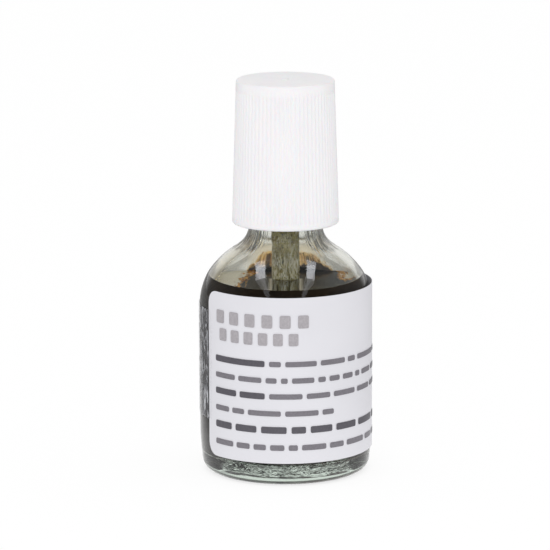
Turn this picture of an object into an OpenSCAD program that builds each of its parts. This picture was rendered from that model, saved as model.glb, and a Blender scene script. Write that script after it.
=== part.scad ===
// Brush-cap bottle of liquid graphite lubricant for locks.
// Millimetres, +Z up, origin at the middle of the base, front of the label towards -Y.

/* [Bottle] */
// Outer diameter of the glass body
body_d = 28; // [24:0.5:36]
// Thickness of the glass wall
glass_wall = 1.5; // [1:0.1:2]
// Thickness of the glass floor over the middle of the push-up
floor_t = 1.9; // [1.5:0.1:4]
// Height of the push-up under the base
push_up = 1; // [0.5:0.1:1.5]
// Radius of the heel at the foot of the wall
heel_r = 1.9; // [1:0.1:2.5]
// How far the wall draws in towards the heel
heel_draw = 0.4; // [0.2:0.05:0.8]
// Height over the base at which the wall starts to draw in
draw_z = 8; // [5:0.5:12]
// Radius of the corner inside, between floor and wall
inner_heel_r = 2; // [1:0.5:4]
// Width of the flat ring that the bottle stands on
stand_ring_w = 3; // [1.5:0.5:5]
// Height over the base at which the shoulder starts to curve in
shoulder_z = 27; // [22:0.5:40]
// Radius of the round shoulder
shoulder_r = 11.1; // [9:0.1:12]
// Radius of the hollow curve from shoulder to neck
neck_fillet_r = 3.6; // [2.5:0.1:4.5]
// Outer diameter of the neck at the root of its thread
neck_d = 11.9; // [11:0.1:13]
// Height of the straight neck
neck_h = 11; // [9:0.5:14]
// Radius of the edges of the lip
lip_edge_r = 0.4; // [0.2:0.05:0.6]

/* [Filling] */
// Height of the liquid over the start of the shoulder
fill_rise = 4.2; // [0.5:0.1:7]

/* [Label] */
// Height of the lower edge over the base
label_z = 3.9; // [3:0.1:8]
// Height of the label
label_h = 27.1; // [18:0.1:28]
// Thickness of the label
label_t = 0.08; // [0.05:0.01:0.2]
// Angle of the label round the bottle
label_span = 300; // [200:5:330]
// Angle from the front round to the label's left end
label_left = 64; // [40:1:90]
// Radius of the label's corners
label_corner_r = 2.2; // [1:0.1:4]

/* [Tape] */
// Height of the clear tape over the gap in the label
tape_h = 18; // [10:0.5:19]
// Height of the tape's lower edge over the base
tape_z = 9.6; // [8:0.1:12]
// Thickness of the tape
tape_t = 0.06; // [0.04:0.01:0.15]
// Angle by which the tape laps over each end of the label
tape_lap = 6; // [3:1:15]

/* [Cap] */
// Height of the cap
cap_h = 23.35; // [20:0.05:30]
// Thickness of the wall round the thread at the rim
cap_wall = 1.88; // [1.2:0.02:2.6]
// How far the outside draws in from the rim to the top
cap_draw = 0.69; // [0.2:0.01:1.2]
// Thickness of the wall over the top
cap_top_t = 1.5; // [1:0.1:3]
// Radius of the outer edges
cap_edge_r = 0.35; // [0.2:0.05:0.6]
// Height of the rim over the foot of the straight neck
cap_rim_gap = 0.55; // [0.3:0.05:1.5]
// Room for the thread between the neck and the bore of the cap
thread_room = 0.8; // [0.6:0.05:1.2]
// How far the seat of the flange stands in from the bore
seat_step = 0.57; // [0.3:0.01:0.8]
// Width of the ledge over the flange
ledge_w = 1.38; // [0.8:0.02:2]
// Number of grip ribs
rib_count = 72; // [48:4:90]
// Depth of the flutes between the ribs
flute_depth = 0.18; // [0.1:0.01:0.3]
// Radius of the flutes
flute_r = 0.3; // [0.25:0.01:0.34]
// Width of the smooth band over the ribs
top_band = 1.7; // [1:0.1:4]
// Width of the smooth band under the ribs
rim_band = 1; // [0.6:0.1:3]

/* [Brush] */
// Outer diameter of the stem
stem_d = 4.5; // [4:0.1:5]
// Diameter of the core inside the stem
stem_core_d = 2.2; // [1.5:0.1:2.6]
// Height of the bristle tips over the glass floor
tip_gap = 3.5; // [1:0.1:8]
// Thickness of the flange
flange_t = 1.2; // [0.8:0.1:2]
// Height of the spigot over the flange
spigot_h = 2.6; // [1.5:0.1:5]
// Wall of the spigot
spigot_wall = 0.9; // [0.6:0.1:1.2]
// Diameter of the hole that holds the tuft
tuft_hole_d = 3; // [2.6:0.1:3.2]
// Depth of the hole that holds the tuft
tuft_hole_depth = 4; // [3:0.1:6]
// Length of the bristles below the stem
bristle_len = 10.5; // [6:0.5:14]
// Number of bristles
bristle_count = 320; // [300:10:400]
// Width of a bristle across its corners
bristle_d = 0.11; // [0.08:0.01:0.12]
// Angle by which the outermost bristles splay
splay = 2.4; // [0:0.2:3]
// How much shorter the outermost bristles are
tip_round = 1.6; // [0:0.1:3]
// Width of the anchor plate along the hole
anchor_h = 1.2; // [0.8:0.1:2]
// Thickness of the anchor plate
anchor_t = 0.35; // [0.25:0.05:0.5]

/* [Seal] */
// Thickness of the sealing wad on the lip
wad_t = 0.8; // [0.5:0.1:1.5]
// How far the wad stays in from the outside of the lip
wad_inset = 0.3; // [0.2:0.05:0.8]

/* [Hidden] */
$fn = 96;

// Steps of a rounded outline
arc_steps = 12;
edge_steps = 4;
// What a cut runs past the face that it opens
overrun = 0.5;
// Clearances: glue under a skin, liquid to glass, snap fit, loose fit
skin_gap = 0.02;
fill_gap = 0.05;
snap_gap = 0.03;
loose_gap = 0.35;
// Snap bead under the flange: how far it stands in and how high it is
bead_in = 0.2;
bead_h = 0.4;
// How far the bristles and the anchor plate are set into what holds them
bristle_root = 0.4;
anchor_bite = 0.08;
// Step between neighbours in a sunflower spiral
golden_angle = 137.508;
// A label corner's centre lies this far in, so that its arc crosses the edges and doesn't graze them
corner_centre_share = 0.985;

body_r = body_d / 2;
neck_r = neck_d / 2;
floor_z = push_up + floor_t;
inner_r = body_r - glass_wall;
bore_r = neck_r - glass_wall;
fill_z = shoulder_z + fill_rise;

// Centres of the shoulder curve and of the curve to the neck, which touch each other
shoulder_c = [body_r - shoulder_r, shoulder_z];
fillet_x = neck_r + neck_fillet_r;
touch_run = fillet_x - shoulder_c.x;
touch_rise = sqrt(pow(shoulder_r + neck_fillet_r, 2) - pow(touch_run, 2));
touch_angle = atan2(touch_rise, touch_run);
neck_z = shoulder_z + touch_rise;
fillet_c = [fillet_x, neck_z];
lip_z = neck_z + neck_h;

// The wall draws in on a large arc that is upright at draw_z
draw_run = draw_z - heel_r;
draw_r = (pow(draw_run, 2) + pow(heel_draw, 2)) / (2 * heel_draw);
draw_angle = asin(draw_run / draw_r);
stand_out_r = body_r - heel_draw - heel_r;
stand_in_r = stand_out_r - stand_ring_w;
push_up_r = (pow(stand_in_r, 2) + pow(push_up, 2)) / (2 * push_up);
push_up_angle = asin(stand_in_r / push_up_r);

label_in_r = body_r + skin_gap;
label_out_r = label_in_r + label_t;
label_start = -90 - label_left;
tape_in_r = label_out_r + skin_gap;
tape_span = 360 - label_span + 2 * tape_lap;
tape_start = label_start + label_span - tape_lap;

cap_z = neck_z + cap_rim_gap;
cap_top_z = cap_z + cap_h;
thread_bore_r = neck_r + thread_room;
cap_rim_r = thread_bore_r + cap_wall;
cap_top_r = cap_rim_r - cap_draw;
cap_taper = atan(cap_draw / cap_h);
seat_r = thread_bore_r - seat_step;
flange_r = seat_r - snap_gap;
hollow_r = seat_r - ledge_w;
wad_z = lip_z;
flange_z = wad_z + wad_t;
ledge_z = flange_z + flange_t;
flute_len = cap_h - top_band - rim_band;
flute_out = flute_r - flute_depth;

stem_r = stem_d / 2;
bristle_tip_z = floor_z + tip_gap;
stem_tip_z = bristle_tip_z + bristle_len;
tuft_hole_top = stem_tip_z + tuft_hole_depth;
tuft_r = tuft_hole_d / 2 - snap_gap;
bristle_ring_r = tuft_r - bristle_d / 2;
well_r = stem_r + loose_gap;
well_z = bristle_tip_z - loose_gap;

// Points on an arc about c
function arc(c, r, a0, a1, n = arc_steps) =
    [for (i = [0:n]) let (a = a0 + (a1 - a0) * i / n) c + r * [cos(a), sin(a)]];

// Outside of the glass, from the axis under the base up to the lip
function glass_outside() = concat(
    arc([0, push_up - push_up_r], push_up_r, 90, 90 - push_up_angle),
    arc([stand_out_r, heel_r], heel_r, -90, -draw_angle),
    arc([body_r - draw_r, draw_z], draw_r, -draw_angle, 0),
    arc(shoulder_c, shoulder_r, 0, touch_angle),
    arc(fillet_c, neck_fillet_r, 180 + touch_angle, 180),
    arc([neck_r - lip_edge_r, lip_z - lip_edge_r], lip_edge_r, 0, 90, edge_steps));

// Inside of the glass from the axis on the floor up to the end of the shoulder curve at a given angle,
// with a gap to the glass
function glass_inside(gap, end_angle) = concat(
    [[0, floor_z + gap]],
    arc([inner_r - inner_heel_r, floor_z + inner_heel_r], inner_heel_r - gap, -90, 0),
    arc(shoulder_c, shoulder_r - glass_wall - gap, 0, end_angle));

// Inside of the neck from the shoulder up to the lip
function neck_inside() = concat(
    arc(fillet_c, neck_fillet_r + glass_wall, 180 + touch_angle, 180),
    arc([bore_r + lip_edge_r, lip_z - lip_edge_r], lip_edge_r, 180, 90, edge_steps));

function turned_back(points) = [for (i = [len(points) - 1:-1:0]) points[i]];

module glass_bottle() {
    color([0.82, 0.86, 0.8, 0.45])
        rotate_extrude()
            polygon(concat(glass_outside(), turned_back(neck_inside()),
                           turned_back(glass_inside(0, touch_angle))));
}

// The liquid leaves a well where the brush stands in it
module graphite_fill() {
    fill_r = shoulder_r - glass_wall - fill_gap;
    level_angle = asin((fill_z - shoulder_z) / fill_r);
    color([0.07, 0.05, 0.05])
        difference() {
            rotate_extrude()
                polygon(concat(glass_inside(fill_gap, level_angle), [[0, fill_z]]));
            translate([0, 0, well_z])
                cylinder(r = well_r, h = fill_z - well_z + overrun);
        }
}

// What is cut from a square corner to round it
module corner_waste(r) {
    difference() {
        translate([-overrun, -overrun])
            square(r + overrun);
        translate(corner_centre_share * [r, r])
            circle(r);
    }
}

// Paper wrapped round the body, with its four corners rounded
module wrap_label() {
    color([0.86, 0.85, 0.89])
        difference() {
            rotate([0, 0, label_start])
                rotate_extrude(angle = label_span)
                    translate([label_in_r, label_z])
                        square([label_t, label_h]);
            for (end = [0, 1], top = [0, 1])
                rotate([0, 0, label_start + end * label_span])
                    mirror([0, end, 0])
                        translate([0, 0, label_z + top * label_h])
                            mirror([0, 0, top])
                                rotate([90, 0, 90])
                                    linear_extrude(height = label_out_r + overrun)
                                        corner_waste(label_corner_r);
        }
}

module clear_tape() {
    color([0.75, 0.76, 0.78, 0.5])
        rotate([0, 0, tape_start])
            rotate_extrude(angle = tape_span)
                translate([tape_in_r, tape_z])
                    square([tape_t, tape_h]);
}

// Outside of the cap: a tapered skin with rounded edges
function cap_outside() = concat(
    arc([cap_rim_r - cap_edge_r, cap_z + cap_edge_r], cap_edge_r, -90, 0, edge_steps),
    arc([cap_top_r - cap_edge_r, cap_top_z - cap_edge_r], cap_edge_r, 0, 90, edge_steps));

// Inside of the cap: hollow, ledge and seat of the flange, snap bead, thread bore
function cap_inside() = [
    [0, cap_top_z - cap_top_t],
    [hollow_r, cap_top_z - cap_top_t],
    [hollow_r, ledge_z],
    [seat_r, ledge_z],
    [seat_r, flange_z],
    [seat_r - bead_in, flange_z - bead_h / 2],
    [seat_r, flange_z - bead_h],
    [seat_r, lip_z],
    [thread_bore_r, lip_z],
    [thread_bore_r, cap_z]];

// Screw cap with fine upright grip ribs
module cap_shell() {
    color([0.93, 0.93, 0.93])
        difference() {
            rotate_extrude()
                polygon(concat(cap_outside(), [[0, cap_top_z]], cap_inside()));
            for (i = [0:rib_count - 1])
                rotate([0, 0, 360 * i / rib_count])
                    translate([cap_rim_r, 0, cap_z])
                        rotate([0, -cap_taper, 0])
                            translate([flute_out, 0, rim_band])
                                cylinder(r = flute_r, h = flute_len, $fn = 24);
        }
}

// Hollow brush stem with its flange, spigot and the blind hole for the tuft
module brush_stem() {
    spigot_r = hollow_r - snap_gap;
    stem_floor_z = tuft_hole_top + stem_r;
    color([0.62, 0.58, 0.42])
        difference() {
            union() {
                translate([0, 0, stem_tip_z])
                    cylinder(r = stem_r, h = ledge_z - stem_tip_z);
                translate([0, 0, flange_z])
                    cylinder(r = flange_r, h = flange_t);
                translate([0, 0, flange_z])
                    cylinder(r = spigot_r, h = flange_t + spigot_h);
            }
            translate([0, 0, stem_floor_z])
                cylinder(d = stem_core_d, h = ledge_z - stem_floor_z + overrun);
            translate([0, 0, ledge_z])
                cylinder(r = spigot_r - spigot_wall, h = spigot_h + overrun);
            translate([0, 0, stem_tip_z - overrun])
                cylinder(d = tuft_hole_d, h = tuft_hole_depth + overrun);
        }
}

// Plate that pins the folded bristles in their hole, its ends biting into the stem
module tuft_anchor() {
    anchor_w = tuft_hole_d + 2 * anchor_bite;
    color([0.75, 0.65, 0.4])
        translate([-anchor_w / 2, -anchor_t / 2, tuft_hole_top - anchor_h])
            cube([anchor_w, anchor_t, anchor_h]);
}

// Straight bristles in a sunflower spiral, splayed a little and cut to a round tip,
// standing out of the packed root that fills the hole
module bristle_tuft() {
    slot_t = anchor_t + 2 * snap_gap;
    root_h = tuft_hole_depth - snap_gap;
    color([0.16, 0.14, 0.13]) {
        difference() {
            translate([0, 0, stem_tip_z])
                cylinder(r = tuft_r, h = root_h);
            translate([-tuft_hole_d, -slot_t / 2, tuft_hole_top - anchor_h - snap_gap])
                cube([2 * tuft_hole_d, slot_t, anchor_h + overrun]);
        }
        for (i = [0:bristle_count - 1])
            let (out_share = sqrt((i + 0.5) / bristle_count))
                rotate([0, 0, golden_angle * i])
                    translate([out_share * bristle_ring_r, 0, stem_tip_z + bristle_root])
                        rotate([0, 180 - splay * out_share, 0])
                            cylinder(d = bristle_d, $fn = 4,
                                     h = bristle_root + bristle_len - tip_round * pow(out_share, 2));
    }
}

// Soft ring between the glass lip and the flange
module sealing_wad() {
    color([0.9, 0.9, 0.86])
        translate([0, 0, wad_z])
            difference() {
                cylinder(r = neck_r - wad_inset, h = wad_t);
                translate([0, 0, -overrun])
                    cylinder(r = stem_r + loose_gap, h = wad_t + 2 * overrun);
            }
}

glass_bottle();
graphite_fill();
wrap_label();
clear_tape();
cap_shell();
brush_stem();
bristle_tuft();
tuft_anchor();
sealing_wad();
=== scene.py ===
# %% [markdown]
# # A brush-cap bottle of liquid graphite
# This lesson dresses a small glass bottle: a dark filling, a wrapped paper label, a strip of clear
# tape and a ribbed white cap that carries a brush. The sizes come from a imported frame, so every
# piece is modelled where the frame says and nothing is fitted afterwards.

# %% Load the frame
import math
import random

import bmesh
import bpy
from mathutils import Euler, Matrix, Vector, noise


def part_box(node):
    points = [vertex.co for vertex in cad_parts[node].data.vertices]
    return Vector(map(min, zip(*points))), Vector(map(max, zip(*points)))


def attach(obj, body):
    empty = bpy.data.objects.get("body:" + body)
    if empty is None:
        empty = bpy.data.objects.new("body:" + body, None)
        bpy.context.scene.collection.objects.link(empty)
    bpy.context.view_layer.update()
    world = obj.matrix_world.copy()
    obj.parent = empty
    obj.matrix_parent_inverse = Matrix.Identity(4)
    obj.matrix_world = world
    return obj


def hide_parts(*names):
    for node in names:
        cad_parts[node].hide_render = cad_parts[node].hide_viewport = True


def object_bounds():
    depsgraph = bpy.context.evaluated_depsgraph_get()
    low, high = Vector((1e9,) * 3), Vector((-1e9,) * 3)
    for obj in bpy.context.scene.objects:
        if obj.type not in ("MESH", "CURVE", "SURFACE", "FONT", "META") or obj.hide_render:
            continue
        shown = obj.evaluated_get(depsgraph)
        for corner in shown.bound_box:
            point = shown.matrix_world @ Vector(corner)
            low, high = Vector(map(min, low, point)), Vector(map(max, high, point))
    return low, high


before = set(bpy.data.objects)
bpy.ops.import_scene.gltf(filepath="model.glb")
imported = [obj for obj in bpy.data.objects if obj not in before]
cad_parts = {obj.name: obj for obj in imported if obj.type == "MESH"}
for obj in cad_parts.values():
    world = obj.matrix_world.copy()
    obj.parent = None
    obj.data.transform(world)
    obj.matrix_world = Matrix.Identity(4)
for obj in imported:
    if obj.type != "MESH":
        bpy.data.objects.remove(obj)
cad_lo, cad_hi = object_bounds()
MM = 0.001
print("frame box in mm:", [round(v / MM, 2) for v in cad_hi - cad_lo])

# %% [markdown]
# ## Main sizes
# A turned object is described by a few radii and heights. Most are read from the boxes of the
# frame's nodes. Walls and small radii are named with the piece that has them, in metres.

# %% Main sizes
_, glass_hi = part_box("glass_bottle")
_, fill_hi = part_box("graphite_fill")
label_lo, label_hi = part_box("wrap_label")
tape_lo, tape_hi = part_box("clear_tape")
cap_lo, cap_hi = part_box("cap_shell")
stem_lo, stem_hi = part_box("brush_stem")
tuft_lo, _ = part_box("bristle_tuft")
wad_lo, wad_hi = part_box("sealing_wad")

body_r = glass_hi.x
lip_z = glass_hi.z
level_z = fill_hi.z
cap_rim_r = cap_hi.x
flange_z = wad_hi.z
print(f"body {2 * body_r / MM:.1f} mm across, lip at {lip_z / MM:.1f} mm")
print(f"liquid up to {level_z / MM:.1f} mm")

# %% [markdown]
# ## Working like a lathe
# Glass, cap, stem and seal are all round, so each starts as half an outline: one vertex is pulled
# out point by point and the line is spun round the Z axis. A cylinder primitive would also do for
# a plain tube, but the outline lets a single mesh carry lips, beads and rounded edges.

# %% Helpers for outlines
MERGE_GAP = 0.0005 * MM
SMOOTH_ANGLE = math.radians(32)


def arc(centre, radius, start, end, steps):
    """Points (r, z) on an arc, angles in degrees."""
    angles = [math.radians(start + (end - start) * i / steps) for i in range(steps + 1)]
    return [(centre[0] + radius * math.cos(a), centre[1] + radius * math.sin(a)) for a in angles]


def deselect_all():
    if bpy.context.object and bpy.context.object.mode != "OBJECT":
        bpy.ops.object.mode_set(mode="OBJECT")
    bpy.ops.object.select_all(action="DESELECT")


def start_point(name, place):
    """A new object in edit mode that holds one selected vertex."""
    deselect_all()
    bpy.ops.mesh.primitive_plane_add(size=MM, enter_editmode=True)
    bpy.ops.mesh.merge(type="CENTER")
    bpy.ops.transform.translate(value=place)
    piece = bpy.context.object
    piece.name = name
    piece.data.name = name
    return piece


def draw_line(points):
    """Pulls the selected vertex through the points (r, z) of an outline in the XZ plane."""
    for here, there in zip(points, points[1:]):
        step = (there[0] - here[0], 0, there[1] - here[1])
        bpy.ops.mesh.extrude_vertices_move(TRANSFORM_OT_translate={"value": step})


def close_up(piece):
    """Merges doubles, turns the faces outwards and shades round stretches smooth."""
    bpy.ops.mesh.select_all(action="SELECT")
    bpy.ops.mesh.remove_doubles(threshold=MERGE_GAP)
    bpy.ops.mesh.normals_make_consistent(inside=False)
    bpy.ops.object.mode_set(mode="OBJECT")
    bpy.ops.object.shade_smooth_by_angle(angle=SMOOTH_ANGLE)
    print(f"{piece.name}: {len(piece.data.vertices)} vertices, {len(piece.data.polygons)} faces")
    return piece


def turn(name, points, steps, closed=False):
    """Spins an outline into a turned piece. A closed outline doesn't touch the axis."""
    piece = start_point(name, (points[0][0], 0, points[0][1]))
    draw_line(points + points[:1] if closed else points)
    bpy.ops.mesh.select_all(action="SELECT")
    bpy.ops.mesh.spin(steps=steps, angle=math.tau, center=(0, 0, 0), axis=(0, 0, 1))
    return close_up(piece)


print("outlines can be drawn and turned")

# %% [markdown]
# A few more tools pick pieces and vertices, apply modifiers and dress a finished piece.

# %% Helpers for pieces
def select_where(piece, test):
    """In edit mode, selects the vertices whose place passes the test."""
    mesh = bmesh.from_edit_mesh(piece.data)
    for vert in mesh.verts:
        vert.select = test(vert.co)
    mesh.select_flush_mode()
    bmesh.update_edit_mesh(piece.data)


def pick(piece):
    """Makes one piece, and no other, selected and active."""
    deselect_all()
    piece.select_set(True)
    bpy.context.view_layer.objects.active = piece


def edit(piece):
    pick(piece)
    bpy.ops.object.mode_set(mode="EDIT")


def cut_across(place, normal):
    """In edit mode, cuts the whole mesh along a plane."""
    bpy.ops.mesh.select_all(action="SELECT")
    bpy.ops.mesh.bisect(plane_co=place, plane_no=normal)


def join(first, others):
    """Joins other pieces to the first one."""
    pick(first)
    for piece in others:
        piece.select_set(True)
    bpy.ops.object.join()
    return first


def apply_modifier(piece, kind, **settings):
    """Adds a modifier with its settings and applies it to the mesh."""
    modifier = piece.modifiers.new(kind.title(), kind)
    for key, value in settings.items():
        setattr(modifier, key, value)
    pick(piece)
    bpy.ops.object.modifier_apply(modifier=modifier.name)


def thicken(piece, thickness, offset=1.0):
    """Gives a sheet its thickness and keeps the edges of its rim sharp."""
    apply_modifier(piece, "SOLIDIFY", thickness=thickness, offset=offset)
    bpy.ops.object.shade_smooth_by_angle(angle=SMOOTH_ANGLE)


def dress(piece, finish, body, slot, *nodes):
    """Gives a piece its material and body, prints its slot and hides the nodes it stands for."""
    piece.data.materials.clear()
    piece.data.materials.append(finish.material)
    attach(piece, body)
    if nodes:
        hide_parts(*nodes)
    print(f"{piece.name}: {finish.material.name}, on {body}, slot {slot}")


print("pieces can be thickened and dressed")

# %% [markdown]
# ## Shader sums as plain expressions
# A material is a graph of nodes, and long graphs are hard to read as code. `Wire` wraps a socket so
# that `1 - mask` adds the Math node by itself, and `Finish` makes every other node with one method.

# %% Wire
class Wire:
    """A node's output that can be used in sums."""

    def __init__(self, finish, socket):
        self.finish = finish
        self.socket = socket

    def math(self, operation, *values):
        return self.finish.node("ShaderNodeMath", {"operation": operation}, dict(enumerate(values)))

    def __add__(self, other):
        return self.math("ADD", self, other)

    def __radd__(self, other):
        return self.math("ADD", other, self)

    def __sub__(self, other):
        return self.math("SUBTRACT", self, other)

    def __rsub__(self, other):
        return self.math("SUBTRACT", other, self)

    def __mul__(self, other):
        return self.math("MULTIPLY", self, other)

    def __rmul__(self, other):
        return self.math("MULTIPLY", other, self)

    def __truediv__(self, other):
        return self.math("DIVIDE", self, other)

    def __rtruediv__(self, other):
        return self.math("DIVIDE", other, self)

    def __pow__(self, other):
        return self.math("POWER", self, other)

    def __abs__(self):
        return self.math("ABSOLUTE", self)

    def lowest(self, other):
        return self.math("MINIMUM", self, other)

    def highest(self, other):
        return self.math("MAXIMUM", self, other)

    def also(self, output):
        """Another output of the same node."""
        return Wire(self.finish, self.socket.node.outputs[output])

    def rise(self, low, high):
        """0 below low, 1 above high, and a smooth step between."""
        return self.finish.node(
            "ShaderNodeMapRange", {"interpolation_type": "SMOOTHSTEP"}, {0: self, 1: low, 2: high}
        )


print("Wire is ready")

# %% [markdown]
# `Finish` holds one tree of nodes. A node comes from one method, which takes its type, its settings
# and its sockets. The short methods after it are for the nodes that most finishes use.

# %% Finish
class Finish:
    """A node tree under construction: a material's, or the world's."""

    def __init__(self, name, world=None):
        owner = world or bpy.data.materials.new(name)
        owner.use_nodes = True
        self.material = owner
        self.tree = owner.node_tree
        self.tree.nodes.clear()
        kind = "ShaderNodeOutputWorld" if world else "ShaderNodeOutputMaterial"
        self.output = self.tree.nodes.new(kind)

    def node(self, kind, settings=None, sockets=None, output=0):
        """Adds a node: its settings are set first, then the values or links of its sockets."""
        made = self.tree.nodes.new(kind)
        for key, value in (settings or {}).items():
            if key == "stops":
                self.set_stops(made.color_ramp, value)
            else:
                setattr(made, key, value)
        for key, value in (sockets or {}).items():
            socket = made.inputs[key]
            if isinstance(value, Wire):
                self.tree.links.new(value.socket, socket)
            else:
                socket.default_value = (*value, 1.0) if socket.type == "RGBA" else value
        return Wire(self, made.outputs[output])

    def set_stops(self, ramp, stops):
        while len(ramp.elements) < len(stops):
            ramp.elements.new(1.0)
        for element, (position, colour) in zip(ramp.elements, stops):
            element.position = position
            element.color = (*colour, 1.0)

    def place(self):
        return self.node("ShaderNodeTexCoord", output="Object")

    def axes(self):
        """Object coordinates in millimetres, as three wires."""
        split = self.node("ShaderNodeSeparateXYZ", None, {0: self.place()})
        return [split.also(i) * (1 / MM) for i in range(3)]

    def vector(self, x, y, z):
        return self.node("ShaderNodeCombineXYZ", None, {0: x, 1: y, 2: z})

    def grain(self, vector, scale, detail=2.0, roughness=0.5, distortion=0.0):
        """Noise from 0 to 1."""
        sockets = {"Vector": vector, "Scale": scale, "Detail": detail}
        sockets.update({"Roughness": roughness, "Distortion": distortion})
        return self.node("ShaderNodeTexNoise", None, sockets)

    def mix(self, share, first, second):
        """One colour over another."""
        sockets = {0: share, 6: first, 7: second}
        return self.node("ShaderNodeMix", {"data_type": "RGBA"}, sockets, output=2)

    def ramp(self, value, *stops):
        return self.node("ShaderNodeValToRGB", {"stops": stops}, {0: value})

    def bump(self, height, depth, strength=1.0):
        sockets = {"Strength": strength, "Distance": depth, "Height": height}
        return self.node("ShaderNodeBump", None, sockets)

    def surface(self, **sockets):
        """The Principled shader on the output. Socket names are written with underscores."""
        named = {key.replace("_", " "): value for key, value in sockets.items()}
        self.show(self.node("ShaderNodeBsdfPrincipled", None, named))

    def show(self, shader, part="Surface"):
        """Any shader on the output."""
        self.tree.links.new(shader.socket, self.output.inputs[part])


print("Finish is ready")

# %% [markdown]
# ## Camera
# The bottle is shown from a little above, with a long lens, on pure white.

# %% Camera
CAMERA_PLACE = (0, -0.6611, 0.1688)
CAMERA_PITCH = math.radians(11.70)
CAMERA_YAW = math.radians(-0.15)
CAMERA_ROLL = math.radians(-0.15)
LENS = 272.7
SENSOR = 36

camera = bpy.data.objects.new("camera", bpy.data.cameras.new("camera"))
bpy.context.collection.objects.link(camera)
aim = Euler((math.pi / 2 - CAMERA_PITCH, 0, -CAMERA_YAW)).to_matrix()
turned = aim @ Matrix.Rotation(CAMERA_ROLL, 3, "Z")
camera.matrix_world = Matrix.Translation(CAMERA_PLACE) @ turned.to_4x4()
camera.data.lens = LENS
camera.data.sensor_width = SENSOR
bpy.context.scene.camera = camera
bpy.context.scene.view_settings.view_transform = "Standard"
print("camera at", CAMERA_PLACE, "lens", LENS)

# %% [markdown]
# ## Floor
# The white is the colour of floor and world as the camera, glass and gloss see it, and not more
# light on the object: diffuse rays meet a plain level. Near the bottle the floor glows less and
# keeps its shadow, and glass sees the glow fade to the sides.

# %% Floor
FLOOR_SIZE = 6.0
FLOOR_DROP = 0.02 * MM
FLOOR_COLOUR = (0.93, 0.93, 0.93)
PURE_WHITE = (1, 1, 1)
FLOOR_GLOW_SHARE = 0.9
FLOOR_GLOW = 1.015
FLOOR_FILL = 0.85
SWEEP_FADE = (22.0, 55.0)
SIDE_LOSS = 0.6
SHADE_FADE = (9.0, 14.5)
CONTACT_SHADE = 0.6
UNDER_LOSS = 0.15

deselect_all()
bpy.ops.mesh.primitive_plane_add(size=FLOOR_SIZE, location=(0, 0, cad_lo.z - FLOOR_DROP))
floor = bpy.context.object
floor.name = "floor"


def ray_kinds(finish):
    """Three wires: 1 for camera rays, for those that gloss or glass send on, and for the rest."""
    camera_ray = finish.node("ShaderNodeLightPath", output="Is Camera Ray")
    glossy_ray = camera_ray.also("Is Glossy Ray")
    glass_ray = camera_ray.also("Is Transmission Ray")
    scattered = camera_ray.also("Diffuse Depth").lowest(1.0)
    sent_on = glossy_ray.highest(glass_ray) * (1.0 - scattered)
    return camera_ray, sent_on, (1.0 - camera_ray) * (1.0 - sent_on)


paper_floor = Finish("white_floor")
fx, fy, _ = paper_floor.axes()
from_axis = (fx * fx + fy * fy) ** 0.5
shaded = 1.0 - from_axis.rise(*SHADE_FADE)
side_loss = abs(fx).rise(*SWEEP_FADE) * SIDE_LOSS
camera_ray, sent_on, plain = ray_kinds(paper_floor)
seen_share = camera_ray * FLOOR_GLOW_SHARE * (1.0 - shaded * CONTACT_SHADE)
glow_share = seen_share + sent_on + plain * FLOOR_FILL
sent_level = (1.0 - side_loss) * (1.0 - shaded * UNDER_LOSS)
glow_level = (1.0 - sent_on + sent_on * sent_level) * FLOOR_GLOW
floor_matte = paper_floor.node("ShaderNodeBsdfDiffuse", None, {"Color": FLOOR_COLOUR})
glow = {"Color": PURE_WHITE, "Strength": glow_level}
floor_glow = paper_floor.node("ShaderNodeEmission", None, glow)
floor_mix = {0: glow_share, 1: floor_matte, 2: floor_glow}
paper_floor.show(paper_floor.node("ShaderNodeMixShader", None, floor_mix))
floor.data.materials.append(paper_floor.material)
print("floor laid")

# %% [markdown]
# ## World
# Glass and gloss see a world that is white behind the bottle, dim at the sides and darkest behind
# the camera, which gives glass its grey edges. Everything else meets one plain level of light.

# %% World
ROOM_LEVEL = 0.87
DARK_SIDE = 0.24
DARK_FRONT = 0.06
FRONT_FADE = (-0.6, 0.1)
BACK_FADE = (0.68, 0.92)
WHITE = 1.005

room = Finish("studio", bpy.data.worlds.new("studio"))
bpy.context.scene.world = room.material
look = room.node("ShaderNodeTexCoord", output="Generated")
look_y = room.node("ShaderNodeSeparateXYZ", None, {0: look}, output="Y")
camera_ray, sent_on, plain = ray_kinds(room)
dim_level = DARK_FRONT + look_y.rise(*FRONT_FADE) * (DARK_SIDE - DARK_FRONT)
sent_level = dim_level + look_y.rise(*BACK_FADE) * (1 - DARK_SIDE)
strength = camera_ray * WHITE + sent_on * sent_level + plain * ROOM_LEVEL
room.show(room.node("ShaderNodeBackground", None, {"Color": PURE_WHITE, "Strength": strength}))
print("world lit at", ROOM_LEVEL)

# %% [markdown]
# ## Lamps
# Two long panels hang overhead, as soft boxes do in a studio, and are seen only as reflections. Each
# is made of two stretches, because its back end is brighter. A weak lamp lights the front.

# %% Lamps
PANEL_HEIGHT = 0.55
PANEL_ASIDE = 0.31
PANEL_FORWARD = -0.36
PANEL_LENGTH = 1.02
PANEL_SPREAD = math.radians(11)
PANEL_COLOUR = (0.93, 0.94, 1.0)
# Stretches from front to back as shares of the length, and how bright each is
PANEL_PARTS = {"_front": (0.0, 0.72, 0.3), "_back": (0.72, 1.0, 1.1)}
# Width in metres, and watts
LEFT_PANEL = (0.10, 1.2)
RIGHT_PANEL = (0.085, 1.05)
KEY_PLACE = (0, -0.8, 0.35)
KEY_TILT = math.radians(68)
KEY_SIZE = (0.7, 0.5)
KEY_WATTS = 1.5


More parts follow.
